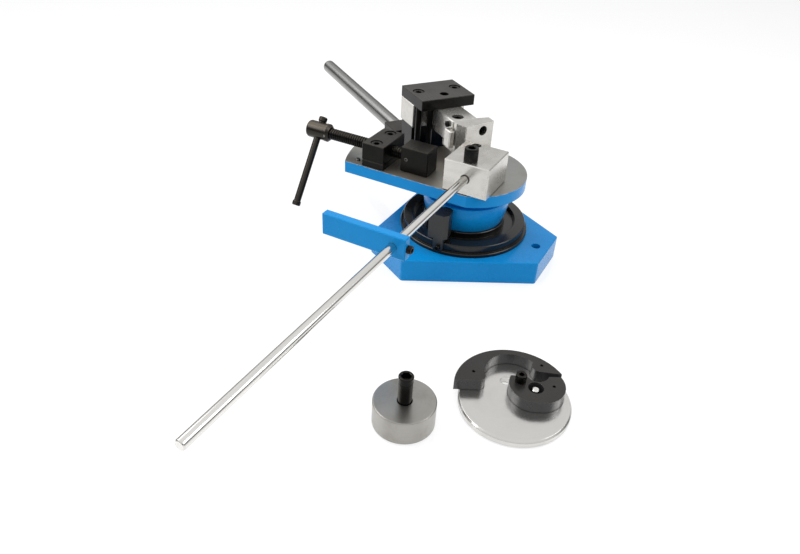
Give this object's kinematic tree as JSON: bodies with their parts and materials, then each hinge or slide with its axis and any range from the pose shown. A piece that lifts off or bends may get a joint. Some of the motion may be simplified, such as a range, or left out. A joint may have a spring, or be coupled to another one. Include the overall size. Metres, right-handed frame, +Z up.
{
  "type": "universal bar bender",
  "caption": "Bench bar bender: lever arm swings a bending head round an anvil block on a vise table, with ring angle stop, rod length stop and loose bending tools.",
  "frame": {"origin": "underside of the base plate, on the axis the arm swings round, centre of the bench bolt circle", "axes": "+X along the vise screw from the nut block to the anvil block, +Y to the back, away from the long stop rod, +Z up"},
  "size_m": [0.7694, 0.9987, 0.216],
  "materials": {
    "blue_paint": "smooth gloss blue machine paint",
    "table_steel": "ground top, painted edge",
    "black_oxide": "black oxide, satin",
    "black_screw": "black oxide fasteners",
    "vise_screw_steel": "oiled black steel",
    "ground_steel": "bright ground faces",
    "bar_steel": "drawn bright bar",
    "turned_steel": "turned and faced",
    "former_black": "black oxide, satin"
  },
  "bodies": {
    "base": {"base_plate": "blue_paint", "stop_ring": "black_oxide", "column": "blue_paint", "column_bolts": "black_screw", "table": "table_steel", "table_screws": "black_screw", "table_dowel": "bar_steel", "anvil_block": "ground_steel", "anvil_bolts": "black_screw", "nut_pad": "black_oxide", "nut_block": "black_oxide", "nut_bolts": "black_screw"},
    "jaw": {"vise_jaw": "black_oxide", "jaw_grub_screw": "bar_steel"},
    "screw": {"vise_screw": "vise_screw_steel", "screw_head": "vise_screw_steel", "screw_head_pin": "bar_steel"},
    "tommy": {"tommy_bar": "vise_screw_steel", "tommy_knobs": "vise_screw_steel"},
    "rod": {"stop_rod": "bar_steel"},
    "length_stop": {"stop_bar": "blue_paint"},
    "length_stop_screw": {"stop_bar_screw": "black_screw"},
    "rod_screw": {"rod_clamp_screw": "black_screw"},
    "angle_stop": {"angle_stop": "black_oxide"},
    "angle_stop_clamp": {"angle_stop_screw": "black_screw"},
    "arm": {"arm_plate": "blue_paint", "arm_upright": "black_oxide", "arm_bar": "ground_steel", "arm_pillars": "black_oxide", "top_plate": "black_oxide", "top_plate_screws": "black_screw", "bending_head": "ground_steel", "bending_head_screw": "black_screw", "bending_finger": "ground_steel", "bending_finger_screw": "black_screw", "lever_socket": "black_oxide", "lever_socket_screws": "black_screw", "lever_handle": "bar_steel"},
    "mandrel_tool": {"mandrel": "turned_steel", "mandrel_post": "black_screw"},
    "scroll_tool": {"scroll_disc": "turned_steel", "scroll_outer": "former_black", "scroll_inner": "former_black", "scroll_bolt": "black_screw", "scroll_pin": "bar_steel", "scroll_screws": "black_screw"}
  },
  "joints": [
    {"name": "arm_swing", "type": "hinge", "parent": "base", "child": "arm", "pos_m": [0, 0, 0.106], "axis": [0, 0, 1], "range_deg": [-76, 10]},
    {"name": "jaw_slide", "type": "slide", "parent": "base", "child": "jaw", "axis": [1, 0, 0], "range_m": [-0.0195, 0.0315]},
    {"name": "screw_turn", "type": "hinge", "parent": "jaw", "child": "screw", "pos_m": [-0.16, -0.047, 0.152], "axis": [1, 0, 0], "range_deg": [-1760, 2840]},
    {"name": "tommy_slide", "type": "slide", "parent": "screw", "child": "tommy", "axis": [0, 0.5736, 0.8192], "range_m": [0, 0.102]},
    {"name": "rod_slide", "type": "slide", "parent": "base", "child": "rod", "axis": [0, 1, 0], "range_m": [-0.035, 0.018]},
    {"name": "length_stop_slide", "type": "slide", "parent": "rod", "child": "length_stop", "axis": [0, 1, 0], "range_m": [-0.345, 0.17]},
    {"name": "length_stop_clamp", "type": "hinge", "parent": "length_stop", "child": "length_stop_screw", "pos_m": [0.044, -0.283, 0.157], "axis": [1, 0, 0], "range_deg": [0, 360]},
    {"name": "rod_clamp", "type": "hinge", "parent": "base", "child": "rod_screw", "pos_m": [0.0265, -0.067, 0.19], "axis": [0, 0, 1], "range_deg": [0, 360]},
    {"name": "angle_stop_travel", "type": "hinge", "parent": "base", "child": "angle_stop", "pos_m": [0, 0, 0.05], "axis": [0, 0, 1], "range_deg": [-75, 110]},
    {"name": "angle_stop_clamp_turn", "type": "hinge", "parent": "angle_stop", "child": "angle_stop_clamp", "pos_m": [0.00349, -0.09994, 0.047], "axis": [0.0349, -0.9994, 0], "range_deg": [0, 360]},
    {"name": "mandrel_lift", "type": "slide", "parent": "base", "child": "mandrel_tool", "axis": [0, 0, 1], "range_m": [0, 0.05]},
    {"name": "scroll_lift", "type": "slide", "parent": "base", "child": "scroll_tool", "axis": [0, 0, 1], "range_m": [0, 0.05]}
  ],
  "couplings": [
    {"joint": "screw_turn", "follows": "jaw_slide", "rad_per_m": 1570.8}
  ]
}
